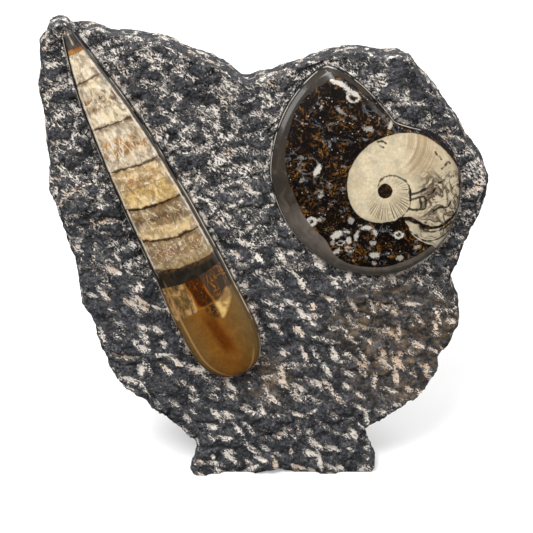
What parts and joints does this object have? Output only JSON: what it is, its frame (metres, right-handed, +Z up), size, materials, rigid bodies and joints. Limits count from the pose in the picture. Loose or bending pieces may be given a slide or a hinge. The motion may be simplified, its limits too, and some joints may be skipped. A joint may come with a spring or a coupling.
{
  "type": "orthoceras fossil slab",
  "caption": "Chiselled black limestone slab standing on a cut foot, with a polished straight orthoceras and a polished coiled goniatite set in its leaning face.",
  "frame": {"origin": "on the ground under the middle of the object's box", "axes": "+Z up, the chiselled face with the fossils towards -Y, +X to the right seen from the front"},
  "size_m": [0.141, 0.0534, 0.1434],
  "materials": {
    "limestone": "chiselled, matt, with pale bruises",
    "orthoceras_calcite": "polished banded calcite",
    "goniatite_calcite": "polished calcite and dark infill"
  },
  "bodies": {
    "root": {"slab": "limestone", "orthoceras": "orthoceras_calcite", "goniatite": "goniatite_calcite"}
  },
  "joints": []
}
